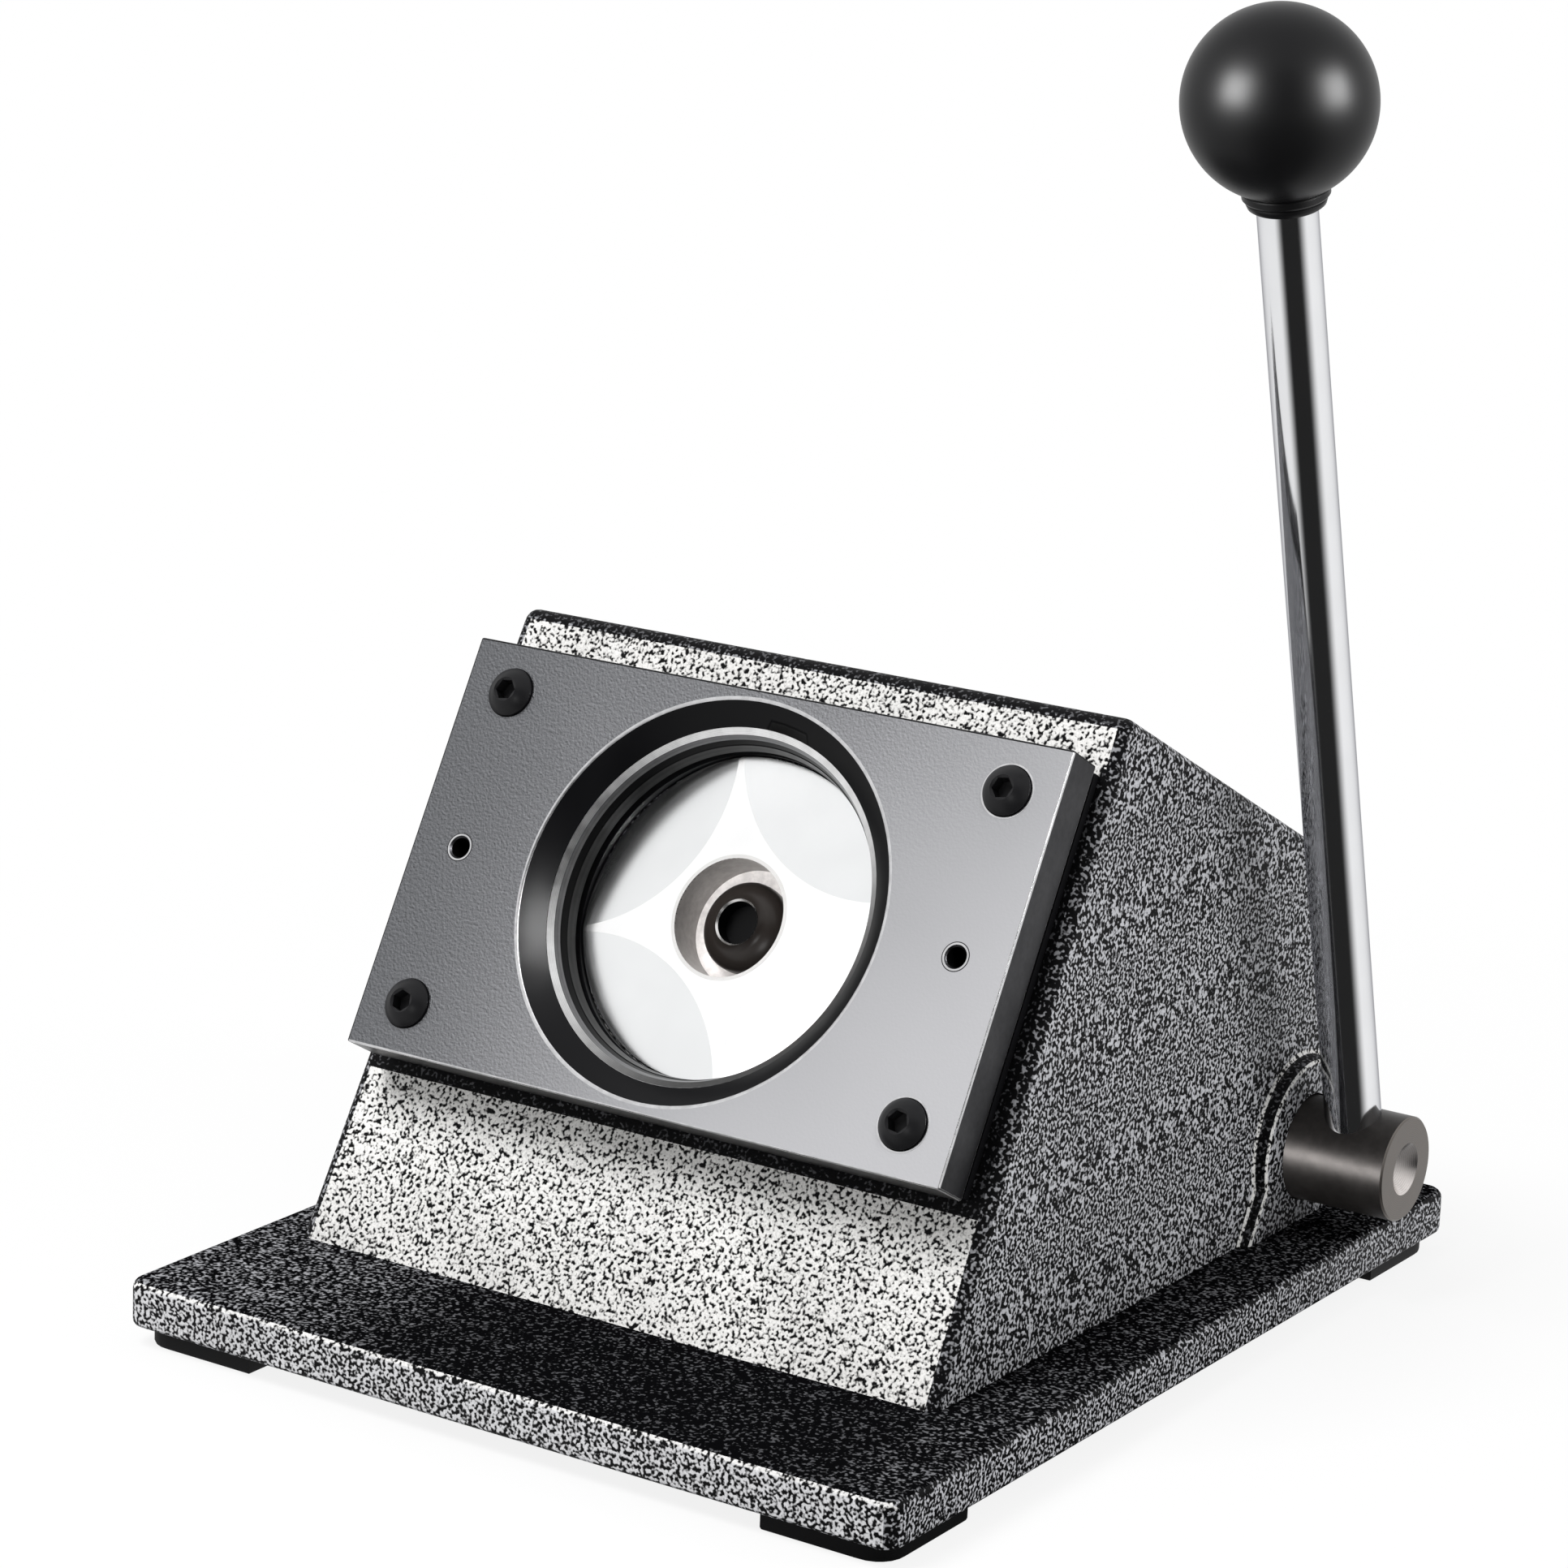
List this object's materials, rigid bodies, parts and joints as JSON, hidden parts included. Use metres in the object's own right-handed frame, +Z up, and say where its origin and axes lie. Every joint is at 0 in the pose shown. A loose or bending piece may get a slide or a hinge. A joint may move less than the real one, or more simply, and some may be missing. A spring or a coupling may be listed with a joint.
{
  "type": "circle die cutter",
  "caption": "Bench circle die cutter: a ball-ended lever turns a cam that drives a round punch through the die in a sloping front plate, on a painted housing and base.",
  "frame": {"origin": "middle of the part's box in plan, on the ground under the feet", "axes": "+X to the right, the lever's side; +Y to the rear, away from the sloping front; +Z up"},
  "size_m": [0.1986, 0.2262, 0.2768],
  "materials": {
    "base_paint": "speckled hammer paint, dark",
    "housing_paint": "speckled hammer paint, silver",
    "rubber": "matt",
    "black_screw": "blackened",
    "plain_screw": "zinc plated",
    "plate_steel": "satin, dark edges",
    "back_steel": "blackened",
    "ring_steel": "hardened, bright",
    "punch_steel": "polished",
    "bronze": "machined",
    "shaft_steel": "oiled, dark",
    "cam_steel": "hardened",
    "rod_chrome": "plated",
    "ball_plastic": "moulded black",
    "brass_insert": "machined",
    "spring_steel": "drawn wire"
  },
  "bodies": {
    "frame": {"base_plate": "base_paint", "feet": "rubber", "foot_screws": "plain_screw", "housing": "housing_paint", "housing_bolts": "black_screw", "back_plate": "back_steel", "slot_spacers": "back_steel", "die_plate": "plate_steel", "die_ring": "ring_steel", "plate_screws": "black_screw", "guide_bush": "bronze", "left_bush": "bronze", "right_bush": "bronze", "return_spring": "spring_steel"},
    "lever": {"drive_shaft": "shaft_steel", "cam": "cam_steel", "cam_pin": "plain_screw", "left_collar": "cam_steel", "right_collar": "cam_steel", "collar_screws": "black_screw", "lever_rod": "rod_chrome", "ball_knob": "ball_plastic", "knob_insert": "brass_insert", "knob_collar": "ball_plastic"},
    "punch": {"ram": "cam_steel", "punch": "punch_steel", "punch_screw": "black_screw", "punch_dowel": "plain_screw", "spring_seat": "cam_steel", "roller_pin": "plain_screw", "roller_clips": "black_screw"},
    "roller": {"cam_roller": "ring_steel"}
  },
  "joints": [
    {"name": "lever_swing", "type": "hinge", "parent": "frame", "child": "lever", "pos_m": [-0.01071, 0.07453, 0.03], "axis": [1, 0, 0], "range_deg": [0, 68]},
    {"name": "punch_slide", "type": "slide", "parent": "frame", "child": "punch", "axis": [0, -0.8755, 0.4833], "range_m": [0, 0.0085], "stiffness_N_per_m": 4000, "springref_m": -0.012, "deforming": ["return_spring"]},
    {"name": "roller_spin", "type": "hinge", "parent": "punch", "child": "roller", "pos_m": [-0.01071, 0.05146, 0.04273], "axis": [1, 0, 0], "continuous": true}
  ],
  "couplings": [
    {"joint": "punch_slide", "follows": "lever_swing", "m_per_rad": 0.007161}
  ]
}
